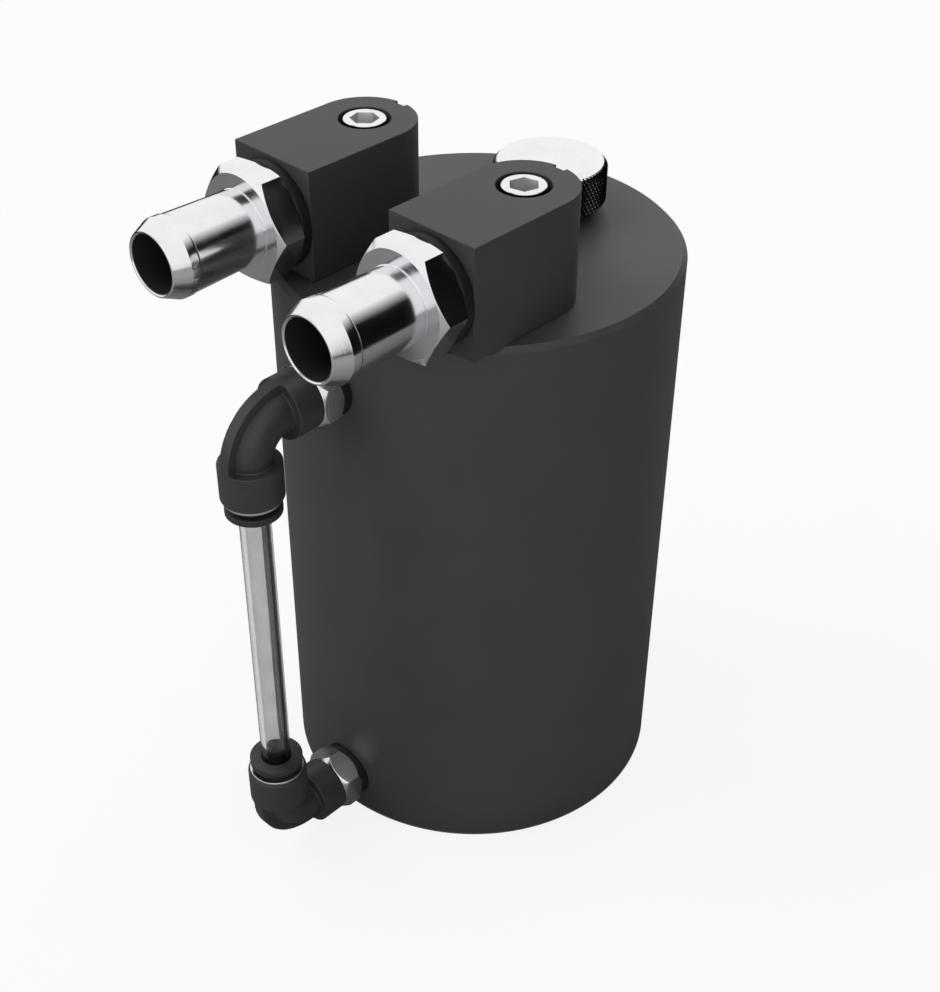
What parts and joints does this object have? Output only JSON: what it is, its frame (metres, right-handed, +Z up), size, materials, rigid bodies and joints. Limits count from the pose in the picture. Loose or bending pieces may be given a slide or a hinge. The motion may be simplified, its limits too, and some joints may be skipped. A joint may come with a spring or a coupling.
{
  "type": "oil catch can",
  "caption": "Round black oil catch can with two swivelling hose necks, a knurled filler cap and a side sight tube.",
  "frame": {"origin": "centre of the can's flat underside", "axes": "+Z up along the can's axis, -Y the way the hose necks point and the side of the sight tube, +X to the right seen from behind the necks"},
  "size_m": [0.08, 0.105, 0.1449],
  "materials": {
    "black_anodised": "black anodised, fine satin turning marks",
    "block_black": "black anodised, satin milled",
    "bare_aluminium": "bare, as machined",
    "bolt_steel": "zinc plated, turned top",
    "plated_steel": "bright nickel plated, turned",
    "knurled_steel": "bright plated, diamond knurl round the rim",
    "nickel_plate": "nickel plated hexagon",
    "spring_steel": "bright stamped ring",
    "elbow_plastic": "black moulded, fine grain",
    "collar_plastic": "black moulded, smooth",
    "clear_tube": "clear tube with a grey cast",
    "seal_rubber": "black seal rubber"
  },
  "bodies": {
    "root": {"can_body": "black_anodised", "base_plate": "black_anodised", "base_seal": "seal_rubber", "drain_plug": "bolt_steel", "drain_seal": "seal_rubber", "baffle_plate": "bare_aluminium", "drop_tube": "bare_aluminium", "banjo_bolt_left": "bolt_steel", "banjo_bolt_right": "bolt_steel", "bolt_seal_left": "seal_rubber", "bolt_seal_right": "seal_rubber", "upper_stem": "nickel_plate", "upper_stem_seal": "seal_rubber", "upper_elbow": "elbow_plastic", "upper_tube_seal": "seal_rubber", "upper_grab_ring": "spring_steel", "upper_cartridge": "spring_steel", "lower_stem": "nickel_plate", "lower_stem_seal": "seal_rubber", "lower_elbow": "elbow_plastic", "lower_tube_seal": "seal_rubber", "lower_grab_ring": "spring_steel", "lower_cartridge": "spring_steel", "sight_tube": "clear_tube"},
    "neck_left": {"port_block_left": "block_black", "block_seal_left": "seal_rubber", "hose_barb_left": "plated_steel", "barb_seal_left": "seal_rubber"},
    "neck_right": {"port_block_right": "block_black", "block_seal_right": "seal_rubber", "hose_barb_right": "plated_steel", "barb_seal_right": "seal_rubber"},
    "cap_lift": {"cap_seal": "seal_rubber"},
    "cap": {"filler_cap": "knurled_steel"},
    "collar_upper": {"upper_collar": "collar_plastic"},
    "collar_lower": {"lower_collar": "collar_plastic"}
  },
  "joints": [
    {"name": "neck_left_swivel", "type": "hinge", "parent": "root", "child": "neck_left", "pos_m": [-0.02, -0.01, 0.123], "axis": [0, 0, 1], "range_deg": [-165, 12]},
    {"name": "neck_right_swivel", "type": "hinge", "parent": "root", "child": "neck_right", "pos_m": [0.02, -0.01, 0.123], "axis": [0, 0, 1], "range_deg": [-12, 165]},
    {"name": "cap_rise", "type": "slide", "parent": "root", "child": "cap_lift", "axis": [0, 0, 1], "range_m": [0, 0.0075]},
    {"name": "cap_turn", "type": "hinge", "parent": "cap_lift", "child": "cap", "pos_m": [0, 0.0204, 0.123], "axis": [0, 0, 1], "range_deg": [0, 1800]},
    {"name": "upper_collar_press", "type": "slide", "parent": "root", "child": "collar_upper", "axis": [0, 0, 1], "range_m": [0, 0.0012], "stiffness_N_per_m": 1500},
    {"name": "lower_collar_press", "type": "slide", "parent": "root", "child": "collar_lower", "axis": [0, 0, -1], "range_m": [0, 0.0012], "stiffness_N_per_m": 1500}
  ],
  "couplings": [
    {"joint": "cap_turn", "follows": "cap_rise", "rad_per_m": 4188.8}
  ]
}
